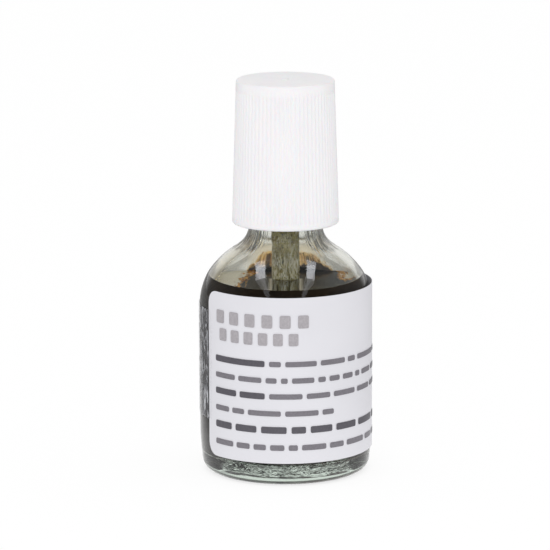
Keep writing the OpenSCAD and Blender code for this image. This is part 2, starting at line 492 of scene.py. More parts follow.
def panel(name, place, turn_angles, size, watts, colour):
    lamp = bpy.data.lights.new(name, "AREA")
    lamp.shape = "RECTANGLE"
    lamp.size, lamp.size_y = size
    lamp.energy = watts
    lamp.color = colour
    stand = bpy.data.objects.new(name, lamp)
    bpy.context.collection.objects.link(stand)
    stand.location = place
    stand.rotation_euler = turn_angles
    stand.visible_camera = False
    return stand


def gloss_panel(name, side, width, watts):
    """A long panel overhead, spread towards the front, that is only seen as a reflection."""
    lean = math.atan2(side * PANEL_ASIDE, PANEL_HEIGHT)
    angles = (0, lean, side * PANEL_SPREAD)
    for part, (low, high, level) in PANEL_PARTS.items():
        middle = PANEL_LENGTH * ((low + high) / 2 - 0.5)
        aside = side * (PANEL_ASIDE - middle * math.sin(PANEL_SPREAD))
        place = (aside, PANEL_FORWARD + middle * math.cos(PANEL_SPREAD), PANEL_HEIGHT)
        size = (width, PANEL_LENGTH * (high - low))
        stand = panel(name + part, place, angles, size, watts * level * (high - low), PANEL_COLOUR)
        stand.visible_diffuse = False


gloss_panel("left_panel", -1, *LEFT_PANEL)
gloss_panel("right_panel", 1, *RIGHT_PANEL)
front_key = panel("front_key", KEY_PLACE, (KEY_TILT, 0, 0), KEY_SIZE, KEY_WATTS, PURE_WHITE)
front_key.visible_glossy = False
print("lamps hung")

# %% [markdown]
# ## Glass bottle
# The bottle is moulded glass with a push-up under the base, a drawn-in heel, a round shoulder and
# a short neck. Outside and inside are one closed outline, because glass only bends light properly
# when it has a real wall. Clear glass shows a sudden change of bend as a dark band, so the line
# from shoulder to neck is eased over a short run.

# %% Glass sizes
GLASS_WALL = 1.5 * MM
PUSH_UP = 1.0 * MM
FLOOR_Z = 2.9 * MM
HEEL_R = 1.9 * MM
HEEL_DRAW = 0.4 * MM
DRAW_Z = 8.0 * MM
STAND_RING_W = 3.0 * MM
INNER_HEEL_R = 2.0 * MM
SHOULDER_Z = 27.0 * MM
SHOULDER_R = 11.1 * MM
NECK_R = 5.95 * MM
NECK_FILLET_R = 3.6 * MM
LIP_EDGE_R = 0.4 * MM
EASE_RUN = 5.5 * MM
EASE_STEP = 0.25 * MM
EASE_LOW = 32.0 * MM
EASE_FULL = 34.5 * MM
EASE_END = 44.0 * MM
EASE_DRAW = 0.1 * MM
GLASS_STEPS = 192

shoulder_c = (body_r - SHOULDER_R, SHOULDER_Z)
fillet_x = NECK_R + NECK_FILLET_R
touch_run = fillet_x - shoulder_c[0]
touch_rise = math.sqrt((SHOULDER_R + NECK_FILLET_R) ** 2 - touch_run**2)
touch_angle = math.degrees(math.atan2(touch_rise, touch_run))
neck_z = SHOULDER_Z + touch_rise
fillet_c = (fillet_x, neck_z)
bore_r = NECK_R - GLASS_WALL
inner_r = body_r - GLASS_WALL
print(f"straight neck from {neck_z / MM:.2f} mm, bore {2 * bore_r / MM:.2f} mm")

# %% [markdown]
# The outline is put together from arcs, as on a mould maker's drawing: push-up, heel, shoulder and
# neck. A weighted mean along the line then eases its bends, by a fraction of a millimetre.

# %% Glass outlines
def push_up_arc():
    stand_in_r = body_r - HEEL_DRAW - HEEL_R - STAND_RING_W
    radius = (stand_in_r**2 + PUSH_UP**2) / (2 * PUSH_UP)
    angle = math.degrees(math.asin(stand_in_r / radius))
    return arc((0, PUSH_UP - radius), radius, 90, 90 - angle, 24)


def heel_arcs():
    run = DRAW_Z - HEEL_R
    radius = (run**2 + HEEL_DRAW**2) / (2 * HEEL_DRAW)
    angle = math.degrees(math.asin(run / radius))
    heel = arc((body_r - HEEL_DRAW - HEEL_R, HEEL_R), HEEL_R, -90, -angle, 16)
    return heel + arc((body_r - radius, DRAW_Z), radius, -angle, 0, 12)[1:]


def even_steps(points, step):
    """The same line with its points at even steps."""
    line = [points[0]]
    to_next = step
    for (r0, z0), (r1, z1) in zip(points, points[1:]):
        length = math.dist((r0, z0), (r1, z1))
        while to_next <= length:
            share = to_next / length
            line.append((r0 + (r1 - r0) * share, z0 + (z1 - z0) * share))
            to_next += step
        to_next -= length
    return line


def eased(points, draw):
    """A line with its bends evened out above the liquid, and drawn in a little there."""
    line = even_steps(points, EASE_STEP)
    half = round(EASE_RUN / EASE_STEP / 2)
    weights = [1 + math.cos(math.pi * k / (half + 1)) for k in range(-half, half + 1)]
    result = line[:half]
    for i in range(half, len(line) - half):
        near = line[i - half : i + half + 1]
        mean_r = sum(w * p[0] for w, p in zip(weights, near)) / sum(weights)
        mean_z = sum(w * p[1] for w, p in zip(weights, near)) / sum(weights)
        along = Vector((near[-1][0] - near[0][0], near[-1][1] - near[0][1])).normalized()
        r, z = line[i]
        ramp = min(1.0, max(0.0, (z - EASE_LOW) / (EASE_FULL - EASE_LOW)))
        fade = min(1.0, max(0.0, (EASE_END - z) / (EASE_END - neck_z)))
        share = ramp * ramp * (3 - 2 * ramp)
        drawn = draw * share * fade
        eased_r = r + (mean_r - r) * share - along.y * drawn
        eased_z = z + (mean_z - z) * share + along.x * drawn
        result.append((eased_r, eased_z))
    return result + line[len(line) - half :]


def shoulder_line(inset, draw):
    """From the start of the shoulder to the straight neck, an inset in from the outside."""
    shoulder = arc(shoulder_c, SHOULDER_R - inset, 0, touch_angle, 96)
    fillet = arc(fillet_c, NECK_FILLET_R + inset, 180 + touch_angle, 180, 48)[1:]
    return eased(shoulder + fillet + [(NECK_R - inset, EASE_END + EASE_RUN / 2)], draw)


def outside():
    """From the axis under the base up to the lip."""
    lip = arc((NECK_R - LIP_EDGE_R, lip_z - LIP_EDGE_R), LIP_EDGE_R, 0, 90, 6)
    return push_up_arc() + heel_arcs() + shoulder_line(0, EASE_DRAW) + lip


def inside(gap):
    """From the axis on the glass floor up to the lip, a gap in from the glass."""
    corner_c = (inner_r - INNER_HEEL_R, FLOOR_Z + INNER_HEEL_R)
    corner = arc(corner_c, INNER_HEEL_R - gap, -90, 0, 16)
    lip = arc((bore_r + LIP_EDGE_R, lip_z - LIP_EDGE_R), LIP_EDGE_R + gap, 180, 90, 6)
    return [(0, FLOOR_Z + gap)] + corner + shoulder_line(GLASS_WALL + gap, 0) + lip


glass = turn("bottle_glass", outside() + inside(0)[::-1], GLASS_STEPS)

# %% [markdown]
# Clear soda-lime glass bends light with an index of 1.52 and turns faintly green only where light
# travels far through it, so the green sits in the volume. Moulding leaves ripples: fine lines up
# the sides of the neck, slow waves round the heel and a crackle in the thick base.

# %% Glass finish
GLASS_TINT = (0.95, 0.96, 0.94)
GLASS_GREEN = (0.58, 0.69, 0.61)
GREEN_DENSITY = 42.0
RIPPLE_DEPTH = 0.35 * MM
STREAK_GAIN = 5.0
CRACKLE_GAIN = 3.0
WAVE_GAIN = 2.6
HEEL_REACH = (11.0, 12.0)
HEEL_LOW = (1.2, 2.0)
HEEL_HIGH = (3.2, 4.2)
BASE_FADE = (4.5, 7.0)
NECK_FADE = (36.0, 38.5)

clear_glass = Finish("clear_glass")
gx, gy, gz = clear_glass.axes()
reach = (gx * gx + gy * gy) ** 0.5
ring_x = gx / reach.highest(1.0)
ring_y = gy / reach.highest(1.0)
up_neck = clear_glass.vector(ring_x * 7.5, ring_y * 7.5, gz * 0.05)
streaks = abs(clear_glass.grain(up_neck, 1.0, 1.0, 0.5, 0.1) - 0.5) * STREAK_GAIN
at_neck = gz.rise(*NECK_FADE) * (0.03 + abs(ring_x).rise(0.5, 0.8) * 0.97)
in_base = clear_glass.vector(gx * 0.16, gy * 0.24, gz)
crackle = clear_glass.grain(in_base, 1.0, 3.0, 0.5, 1.2)
at_base = (1.0 - gz.rise(*BASE_FADE)) * (1.0 - reach.rise(*HEEL_REACH))
round_heel = clear_glass.vector(gx * 0.2, gy * 0.2, gz * 0.62)
waves = clear_glass.grain(round_heel, 1.0, 3.0, 0.55, 1.0)
at_heel = gz.rise(*HEEL_LOW) * (1.0 - gz.rise(*HEEL_HIGH)) * reach.rise(*HEEL_REACH)
at_heel = at_heel * (1.0 - abs(ring_x).rise(0.6, 0.85))
ripple = streaks * at_neck + crackle * at_base * CRACKLE_GAIN + waves * at_heel * WAVE_GAIN
clear_glass.surface(
    Base_Color=GLASS_TINT,
    Roughness=0.0,
    IOR=1.52,
    Transmission_Weight=1.0,
    Normal=clear_glass.bump(ripple, RIPPLE_DEPTH, 0.6),
)
green = {"Color": GLASS_GREEN, "Density": GREEN_DENSITY}
absorb = clear_glass.node("ShaderNodeVolumeAbsorption", None, green)
clear_glass.show(absorb, "Volume")
dress(glass, clear_glass, "bottle", "glass", "glass_bottle")

# %% [markdown]
# ## Screw thread
# The neck carries a rounded thread, two turns long, and the cap has its partner inside. A small
# outline is wound up by the Screw modifier, and both ends are then eased into the wall, as a mould
# maker does.

# %% Thread
THREAD_PITCH = 2.12 * MM
THREAD_TURNS = 2.0
THREAD_RISE = 0.52 * MM
THREAD_HALF = 0.55 * MM
THREAD_SINK = 0.12 * MM
THREAD_STEPS = 72
EASE_ANGLE = math.radians(70)
NECK_THREAD_Z = 45.0 * MM

thread_rings = int(THREAD_STEPS * THREAD_TURNS)
thread_angle = math.tau * THREAD_TURNS


def thread(name, wall_r, out, start_z):
    """A ridge on a wall of radius wall_r, which stands out (1) or in (-1)."""
    flank = 0.6 * THREAD_RISE
    outline = [(-THREAD_SINK, -THREAD_HALF), (flank, -0.5 * THREAD_HALF), (THREAD_RISE, 0)]
    outline += [(flank, 0.5 * THREAD_HALF), (-THREAD_SINK, THREAD_HALF)]
    points = [(wall_r + out * r, start_z + z) for r, z in outline]
    piece = start_point(name, (points[0][0], 0, points[0][1]))
    draw_line(points)
    bpy.ops.mesh.select_all(action="SELECT")
    bpy.ops.mesh.edge_face_add()
    bpy.ops.mesh.delete(type="ONLY_FACE")
    apply_modifier(
        piece, "SCREW", angle=thread_angle, screw_offset=THREAD_PITCH * THREAD_TURNS,
        steps=thread_rings, render_steps=thread_rings, use_merge_vertices=False,
    )
    ease_ends(piece, wall_r, out)
    edit(piece)
    bpy.ops.mesh.select_all(action="SELECT")
    bpy.ops.mesh.fill_holes(sides=len(points))
    return close_up(piece)


def ease_ends(piece, wall_r, out):
    """Sinks the ridge into the wall over the first and last stretch of its winding."""
    per_ring = len(piece.data.vertices) // (thread_rings + 1)
    for index, vert in enumerate(piece.data.vertices):
        along = thread_angle * (index // per_ring) / thread_rings
        share = min(1.0, along / EASE_ANGLE, (thread_angle - along) / EASE_ANGLE)
        share = math.sin(share * math.pi / 2)
        radius = math.hypot(vert.co.x, vert.co.y)
        proud = (radius - wall_r) * out
        wanted = wall_r + out * (proud * share - THREAD_SINK * (1 - share))
        vert.co.x *= wanted / radius
        vert.co.y *= wanted / radius


neck_thread = thread("neck_thread", NECK_R, 1, NECK_THREAD_Z)
dress(neck_thread, clear_glass, "bottle", "glass")

# %% [markdown]
# ## Liquid graphite
# The filling is opaque and almost black. Its surface meets the glass in a small meniscus. It runs a
# hair into the wall, because a gap of air between liquid and glass would shine like a mirror.

# %% Liquid shape
WET_IN = 0.05 * MM
MENISCUS_RISE = 0.35 * MM
MENISCUS_RUN = 1.1 * MM
MENISCUS_STEPS = 8
LIQUID_STEPS = 128


def wall_radius(z):
    """Inner radius of the glass at a height of the round shoulder."""
    return shoulder_c[0] + math.sqrt((SHOULDER_R - GLASS_WALL) ** 2 - (z - SHOULDER_Z) ** 2)


brim_z = level_z + MENISCUS_RISE
brim_r = wall_radius(brim_z)
wet_side = [p for p in inside(-WET_IN) if p[1] < brim_z]
brim = [(brim_r + WET_IN, brim_z)]
for i in range(1, MENISCUS_STEPS + 1):
    share = i / MENISCUS_STEPS
    brim.append((brim_r - MENISCUS_RUN * share, level_z + MENISCUS_RISE * (1 - share) ** 2))
liquid = turn("liquid", wet_side + brim + [(0, level_z)], LIQUID_STEPS)

# %% [markdown]
# The liquid has three finishes. Its side is almost black, and a little browner near the brim.

# %% Liquid finish
DEEP = (0.006, 0.0033, 0.0017)
BRIM_FADE = (28.5, 31.0)

graphite = Finish("liquid_graphite")
_, _, iz = graphite.axes()
swirl = graphite.grain(graphite.place(), 160.0, 3.0, 0.6, 1.0)
deep_colour = graphite.ramp(swirl, (0.3, DEEP), (0.75, (0.022, 0.014, 0.008)))
brim_colour = graphite.ramp(swirl, (0.3, (0.012, 0.007, 0.003)), (0.75, (0.036, 0.023, 0.012)))
graphite.surface(
    Base_Color=graphite.mix(iz.rise(*BRIM_FADE), deep_colour, brim_colour),
    Roughness=0.3,
    IOR=1.1,
)
dress(liquid, graphite, "bottle", "graphite_liquid", "graphite_fill")

# %% [markdown]
# On the still surface floats a dry grey-beige skin of fine graphite. Its pale colour is also a
# painted reflection: it stands in for the pale back wall mirrored in the liquid. Round the brush the
# skin is torn open, and the tear has an amber edge: rust-coloured residue with a painted glow of
# light shining through the thin edge. Where it is torn the liquid is black and reflects.

# %% Skin finish
TEAR_LEFT = 6.75
TEAR_SLANT = 0.105
TEAR_RIGHT = 9.4
TEAR_FRONT = 1.2

still_top = Finish("graphite_skin")
lx, ly, _ = still_top.axes()
drawn_out = still_top.vector(lx, ly * 0.28, 0.0)
ragged = (still_top.grain(drawn_out, 0.5, 2.0, 0.5) - 0.5) * 5.0
ragged = ragged + (still_top.grain(drawn_out, 1.7, 4.0, 0.7) - 0.5) * 4.0
torn_left = lx + TEAR_LEFT - ly * TEAR_SLANT
torn_right = (TEAR_RIGHT - lx).highest(0.0 - ly - TEAR_FRONT)
torn = torn_left.lowest(torn_right) + ragged
skin = 1.0 - torn.rise(-0.25, 0.05)
rust_and_glow_edge = torn.rise(-0.6, -0.15) * (1.0 - torn.rise(0.3, 1.0))
speckle = still_top.grain(drawn_out, 1.8, 3.0, 0.7)
# The pale skin colour is partly a painted reflection of the back wall in the liquid.
skin_and_reflection_colour = still_top.ramp(speckle, (0.3, (0.88, 0.83, 0.70)), (0.7, (0.94, 0.90, 0.79)))
# The amber edge is partly rust and partly a painted glow of light through a thin edge.
rust_and_glow_colour = still_top.ramp(speckle, (0.38, (0.17, 0.055, 0.009)), (0.62, (0.85, 0.43, 0.08)))
top_colour = still_top.mix(rust_and_glow_edge, still_top.mix(skin, DEEP, skin_and_reflection_colour), rust_and_glow_colour)
before_stem = (1.0 - abs(lx).rise(2.2, 3.0)) * (0.0 - ly).rise(0.0, 1.0)
still_top.surface(
    Base_Color=top_colour,
    Roughness=0.06 + skin * 0.5,
    IOR=1.05,
    Coat_Weight=before_stem,
    Coat_IOR=1.9,
    Coat_Roughness=0.03,
)
liquid.data.materials.append(still_top.material)
print("skin floats on the liquid")

# %% [markdown]
# On the glass floor lies sediment: pale flakes, and over them on the right a brown drift. It is
# seen through the base, where the crackle of the glass breaks it up.

# %% Sediment finish
TOP_FACING = 0.65
UNDER_FACING = -0.9

sediment = Finish("graphite_sediment")
mx, _, _ = sediment.axes()
flakes = sediment.grain(sediment.place(), 190.0, 3.0, 0.6, 1.2)
flake_colour = sediment.ramp(flakes, (0.46, (0.02, 0.02, 0.018)), (0.57, (0.50, 0.52, 0.48)))
drift = mx + (sediment.grain(sediment.place(), 120.0, 2.0, 0.5) - 0.5) * 16.0
sediment.surface(
    Base_Color=sediment.mix(drift.rise(0.0, 4.0) * 0.7, flake_colour, (0.10, 0.07, 0.055)),
    Roughness=0.5,
    IOR=1.1,
)
liquid.data.materials.append(sediment.material)
for face in liquid.data.polygons:
    if face.normal.z > TOP_FACING:
        face.material_index = 1
    elif face.normal.z < UNDER_FACING:
        face.material_index = 2
print("liquid has", len(liquid.data.materials), "finishes")

# %% [markdown]
# ## Residue on the glass
# Where the liquid has splashed, the inside of the shoulder keeps a dull haze. It is a separate thin
# shell on the inner wall, and its alpha lets the glass show through.

# %% Residue shape
FILM_T = 0.04 * MM
FILM_UNDER = 0.3 * MM
FILM_STEPS = 160
INWARDS = -1.0

film_low = level_z - FILM_UNDER
film_wall = [p for p in inside(-FILM_T / 2) if film_low < p[1] < neck_z]
film_wall = [(wall_radius(film_low) + FILM_T / 2, film_low)] + film_wall
film = turn("wall_residue", film_wall, FILM_STEPS)
thicken(film, FILM_T, INWARDS)

# %% [markdown]
# Behind the brush the haze thickens to a veil, and a dark patch with a ragged, rusty edge rises
# from the liquid. The patch is a hump: its height falls off steeply to the left and right.

# %% Residue finish
PATCH_TOP = 31.75
PATCH_CURVE = 0.053
PATCH_LEFT = 5.6
PATCH_RIGHT = 6.2
RUST_RUN = 0.28
RUST_MORE_LEFT = 0.45
VEIL_TOP = (34.0, 36.0)
VEIL_SIDE = (4.5, 7.5)
HAZE_TOP = (36.0, 40.0)
SIDE_HAZE = 0.18
SIDE_HAZE_LEFT = 0.24
BACK_HAZE = 0.20
VEIL_MORE = 0.5
PATCH_COVER = 0.95

residue = Finish("dried_residue")
rx, ry, rz = residue.axes()
wander = (residue.grain(residue.place(), 450.0, 2.0, 0.5) - 0.5) * 2.0
wander = wander + (residue.grain(residue.place(), 2200.0, 4.0, 0.7) - 0.5) * 2.0
to_left = (0.0 - rx).highest(0.0)
to_right = rx.highest(0.0)
hump = PATCH_TOP + rx * rx * PATCH_CURVE
hump = hump - (to_left / PATCH_LEFT) ** 6.0 - (to_right / PATCH_RIGHT) ** 5.0
behind = ry.rise(-1.0, 1.0)
inside_patch = hump - rz + wander
patch = inside_patch.rise(-0.05, 0.2) * behind
rust_run = RUST_RUN + to_left.rise(1.0, 3.0) * RUST_MORE_LEFT
rust = inside_patch.rise(-0.3, 0.0) * (1.0 - (inside_patch / rust_run).rise(0.0, 1.0)) * behind
runs = residue.grain(residue.vector(rx * 0.5, ry * 0.5, rz * 0.1), 3.0, 3.0, 0.6)
haze_colour = residue.ramp(runs, (0.3, (0.78, 0.64, 0.42)), (0.7, (0.89, 0.75, 0.52)))
blot = residue.grain(residue.place(), 2600.0, 3.0, 0.7)
rust_colour = residue.ramp(blot, (0.38, (0.30, 0.11, 0.015)), (0.62, (0.97, 0.66, 0.24)))
dark_colour = residue.ramp(blot, (0.3, (0.022, 0.016, 0.012)), (0.7, (0.06, 0.048, 0.042)))
film_colour = residue.mix(rust, residue.mix(patch, haze_colour, dark_colour), rust_colour)
side_haze = SIDE_HAZE + to_left.rise(0.0, 2.0) * SIDE_HAZE_LEFT
aside = abs(rx) / (rx * rx + ry * ry) ** 0.5
veil = (1.0 - rz.rise(*VEIL_TOP)) * (1.0 - abs(rx).rise(*VEIL_SIDE))
haze = behind * (BACK_HAZE + veil * VEIL_MORE)
haze = haze + (1.0 - behind) * aside.rise(0.85, 0.96) * side_haze
haze = haze * (1.0 - rz.rise(*HAZE_TOP) * 0.7)
cover = haze + (1.0 - haze) * patch.highest(rust) * PATCH_COVER
residue.surface(
    Base_Color=film_colour,
    Roughness=0.6,
    Alpha=cover,
    IOR=1.05,
    Transmission_Weight=0.9,
)
dress(film, residue, "bottle", "graphite_liquid")

# %% [markdown]
# ## Wrap label
# A rectangle of coated paper with rounded corners, stuck round the body. It is modelled flat, with
# its corners bevelled, cut into narrow columns and then rolled up, which keeps its edges true. At
# the top it stands straight while the glass already curves away under it.

# %% Label
# The paper's left end lies 2 degrees inside the frame's label
LABEL_SPAN = math.radians(298)
LABEL_LEFT = math.radians(62)
LABEL_CORNER = 2.2 * MM
LABEL_T = 0.06 * MM
LABEL_SLACK = 0.02 * MM
LABEL_COLUMN = math.radians(2.0)

label_r = label_hi.x - LABEL_SLACK - LABEL_T


def flat_sheet(name, left, right, low, high, corner, corner_steps=8):
    """A flat sheet in the XZ plane, facing -Y, with rounded corners."""
    deselect_all()
    bpy.ops.mesh.primitive_plane_add(size=1, rotation=(math.pi / 2, 0, 0))
    piece = bpy.context.object
    piece.name = name
    piece.data.name = name
    piece.location = ((left + right) / 2, 0, (low + high) / 2)
    piece.scale = (right - left, high - low, 1)
    bpy.ops.object.transform_apply(location=True, rotation=True, scale=True)
    bpy.ops.object.mode_set(mode="EDIT")
    bpy.ops.mesh.select_all(action="SELECT")
    bpy.ops.mesh.bevel(affect="VERTICES", offset=corner, segments=corner_steps)
    return piece


def cut_columns(left, right, width):
    """Cuts the open sheet into upright columns, so that it can bend."""
    count = max(1, round((right - left) / width))
    for i in range(1, count):
        cut_across((left + (right - left) * i / count, 0, 0), (1, 0, 0))


def roll_up(piece, radius):
    """Rolls a flat sheet round the bottle: the middle of its X axis comes to the front."""
    for vert in piece.data.vertices:
        angle = vert.co.x / radius
        vert.co = (radius * math.sin(angle), -radius * math.cos(angle), vert.co.z)
    piece.data.update()


label_left = -LABEL_LEFT * label_r
label_right = (LABEL_SPAN - LABEL_LEFT) * label_r
label = flat_sheet("paper_label", label_left, label_right, label_lo.z, label_hi.z, LABEL_CORNER)
cut_columns(label_left, label_right, LABEL_COLUMN * label_r)
close_up(label)
roll_up(label, label_r)
thicken(label, LABEL_T)

# %% [markdown]
# Coated paper is smooth, a slightly cool white and a little cloudy. Fine noise stands for its fibres,
# in the roughness and in a shallow bump, and slow noise for the clouds.

# %% Label finish
PAPER = (0.715, 0.71, 0.75)
PALE_PAPER = (0.74, 0.735, 0.775)

paper = Finish("coated_paper")
fibres = paper.grain(paper.place(), 2600.0, 4.0, 0.65)
clouds = paper.grain(paper.place(), 90.0, 2.0, 0.5)
paper.surface(
    Base_Color=paper.ramp(clouds, (0.3, PAPER), (0.7, PALE_PAPER)),
    Roughness=0.42 + fibres * 0.12,
    Normal=paper.bump(fibres, 0.008 * MM, 0.5),
)
dress(label, paper, "bottle", "label_paper", "wrap_label")

# %% [markdown]
# ## Print
# The print is left generic: two rows of blocks for a heading, and bars as long as words are, in two
# weights. Each is a flat sheet of its own, rolled up with the label and laid on it.

# %% Rows of print
INK_T = 0.006 * MM
INK_LIFT = 0.004 * MM
INK_CORNER = 0.25 * MM
INK_COLUMN = math.radians(3.0)
SHORTEST_SHARE = 0.7

words = random.Random(11)
ink_r = label_r + LABEL_T + INK_LIFT


def block_row(height, tall, wide, gap, left, count):
    """A row of equal blocks. Sizes are in millimetres, the start in degrees."""
    blocks = []
    for i in range(count):
        start = math.radians(left) * ink_r + (wide + gap) * i * MM
        blocks.append((start, start + wide * MM, height, tall))
    return blocks


def bar_row(height, thick, shortest, longest, gap, left, right):
    """Bars of word length in one row. Sizes are in millimetres, start and end in degrees."""
    bars = []
    at = math.radians(left) * ink_r
    end = math.radians(right) * ink_r
    while at < end:
        length = words.uniform(shortest, longest) * MM
        bars.append((at, min(at + length, end), height, thick))
        at += length + gap * MM
    return bars


def print_rows(name, make_row, rows, finish):
    """Lays the rows on the label as one piece, without the very short bars."""
    made = []
    for left, right, height, thick in [bar for row in rows for bar in make_row(*row)]:
        if right - left < SHORTEST_SHARE * thick * MM:
            continue
        low = (height - thick / 2) * MM
        bar = flat_sheet(name, left, right, low, low + thick * MM, INK_CORNER, 3)
        cut_columns(left, right, INK_COLUMN * ink_r)
        made.append(bar)
    piece = join(made[0], made)
    piece.name = name
    roll_up(piece, ink_r)
    thicken(piece, INK_T)
    print(f"{name}: {len(made)} bars, {len(piece.data.polygons)} faces")
    dress(piece, finish, "bottle", "label_paper")


def ink(name, tone):
    """A slightly patchy ink."""
    finish = Finish(name)
    patchy = finish.grain(finish.place(), 3000.0, 2.0, 0.6)
    light = [1.25 * channel for channel in tone]
    colour = finish.ramp(patchy, (0.35, tone), (0.75, light))
    finish.surface(Base_Color=colour, Roughness=0.4)
    return finish


print("rows are printed at a radius of", round(ink_r / MM, 3), "mm")

# %% [markdown]
# Each row is a line in a table, with its values in the order that `block_row` or `bar_row` takes.

# %% Print
ROW_LEFT = -53
ROW_RIGHT = 92
BOLD_END = -14
PLAIN_START = -11
SHORT_END = 33
HEADING_ROWS = [(27.1, 2.1, 1.75, 1.2, -52, 6), (24.2, 2.0, 1.55, 0.95, -49, 6)]
BOLD_ROWS = [
    (20.2, 1.0, 10, 11, 0.7, ROW_LEFT, BOLD_END),
    (14.9, 1.0, 4.4, 4.6, 0.7, ROW_LEFT, BOLD_END),
    (9.4, 1.1, 1.5, 6, 0.8, ROW_LEFT, ROW_RIGHT),
]
PLAIN_ROWS = [
    (20.2, 0.85, 1.5, 6, 0.7, PLAIN_START, ROW_RIGHT),
    (17.5, 0.85, 1, 6, 0.7, ROW_LEFT, ROW_RIGHT),
    (14.9, 0.85, 2, 6, 0.7, PLAIN_START, ROW_RIGHT),
    (12.1, 0.85, 1, 5.5, 0.7, ROW_LEFT, SHORT_END),
    (6.5, 0.9, 1.2, 5, 0.7, ROW_LEFT, ROW_RIGHT),
]

print_rows("heading_bars", block_row, HEADING_ROWS, ink("grey_ink", (0.36, 0.34, 0.36)))
print_rows("bold_bars", bar_row, BOLD_ROWS, ink("dark_ink", (0.085, 0.08, 0.095)))
print_rows("text_bars", bar_row, PLAIN_ROWS, ink("mid_ink", (0.17, 0.16, 0.18)))

# %% [markdown]
# ## Clear tape
# A strip of clear film closes the gap between the label's two ends. Film never lies quite flat, so
# the sheet is cut into a fine grid and rippled a little as it is rolled up.

# %% Tape
TAPE_T = 0.02 * MM
TAPE_LIFT = 0.035 * MM
TAPE_LEFT = math.radians(-130)
TAPE_RIGHT = math.radians(-58)
TAPE_CORNER = 0.3 * MM
TAPE_COLUMN = math.radians(0.8)
TAPE_ROWS = 60
TAPE_RIPPLE = 0.022 * MM
CREASE_SCALE = Vector((900, 900, 260))

tape_r = label_r + LABEL_T + TAPE_LIFT
tape_left = TAPE_LEFT * tape_r
tape_right = TAPE_RIGHT * tape_r
tape = flat_sheet("film_tape", tape_left, tape_right, tape_lo.z, tape_hi.z, TAPE_CORNER, 2)
cut_columns(tape_left, tape_right, TAPE_COLUMN * tape_r)
for i in range(1, TAPE_ROWS):
    cut_across((0, 0, tape_lo.z + (tape_hi.z - tape_lo.z) * i / TAPE_ROWS), (0, 0, 1))
close_up(tape)
roll_up(tape, tape_r)
for vert in tape.data.vertices:
    vert.co.xy *= 1 + TAPE_RIPPLE * noise.noise(vert.co * CREASE_SCALE) / tape_r
thicken(tape, TAPE_T)

# %% [markdown]
# Over the paper the film is all but invisible. Over the gap it lies on dark glass, where trapped
# air shows as pale streaks: a painted reflection, laid into the film's colour and alpha.

# %% Tape finish
GAP_NEAR = (-6.85, -6.45)
GAP_FAR = (7.7, 8.1)
FILM_ALPHA = 0.015
GAP_ALPHA = 0.06
BUBBLE_ALPHA = 0.48

clear_film = Finish("clear_film")
tx, ty, tz = clear_film.axes()
creases = clear_film.grain(clear_film.vector(tx, ty, tz * 0.27), 1.6, 4.0, 0.6, 1.0)
over_gap = ty.rise(*GAP_NEAR) * (1.0 - ty.rise(*GAP_FAR))
# Pale streaks painted in for the sheen of trapped air: a painted reflection.
painted_bubble_sheen = creases.rise(0.47, 0.66) * over_gap
clear_film.surface(
    Base_Color=clear_film.mix(painted_bubble_sheen, (0.30, 0.30, 0.33), (0.76, 0.77, 0.81)),
    Roughness=0.18,
    Alpha=FILM_ALPHA + over_gap * GAP_ALPHA + painted_bubble_sheen * BUBBLE_ALPHA,
    Normal=clear_film.bump(creases, 0.5 * MM, 1.0),
)
dress(tape, clear_film, "bottle", "clear_film", "clear_tape")

# %% [markdown]
# ## Ribbed cap
# The cap is a tall, slightly tapered shell of white plastic. In the middle of its top is a dimple
# with the nub that the moulding gate leaves, and its bore has a seat with a snap bead for the brush.

# %% Cap
RIB_COUNT = 72
RIB_COLUMNS = 8
RIB_END_OUT = 0.05 * MM
RIB_END_IN = 0.25 * MM
FLUTE_DEPTH = 0.18 * MM
TOP_BAND = 1.7 * MM
RIM_BAND = 1.0 * MM
CAP_DRAW = 0.69 * MM
CAP_EDGE_R = 0.35 * MM
CAP_TOP_T = 1.5 * MM
THREAD_BORE_R = 6.75 * MM
BORE_EASE = 0.3 * MM
SKIN_MARGIN = 0.5 * MM
SEAT_R = 6.18 * MM
HOLLOW_R = 4.80 * MM
FLANGE_T = 1.2 * MM
BEAD_IN = 0.2 * MM
BEAD_H = 0.4 * MM
GATE_R = 0.7 * MM
GATE_DEEP = 0.25 * MM
GATE_NUB_R = 0.25 * MM

cap_top_r = cap_rim_r - CAP_DRAW
ledge_z = flange_z + FLANGE_T
skirt_low = cap_lo.z + RIM_BAND
skirt_high = cap_hi.z - TOP_BAND


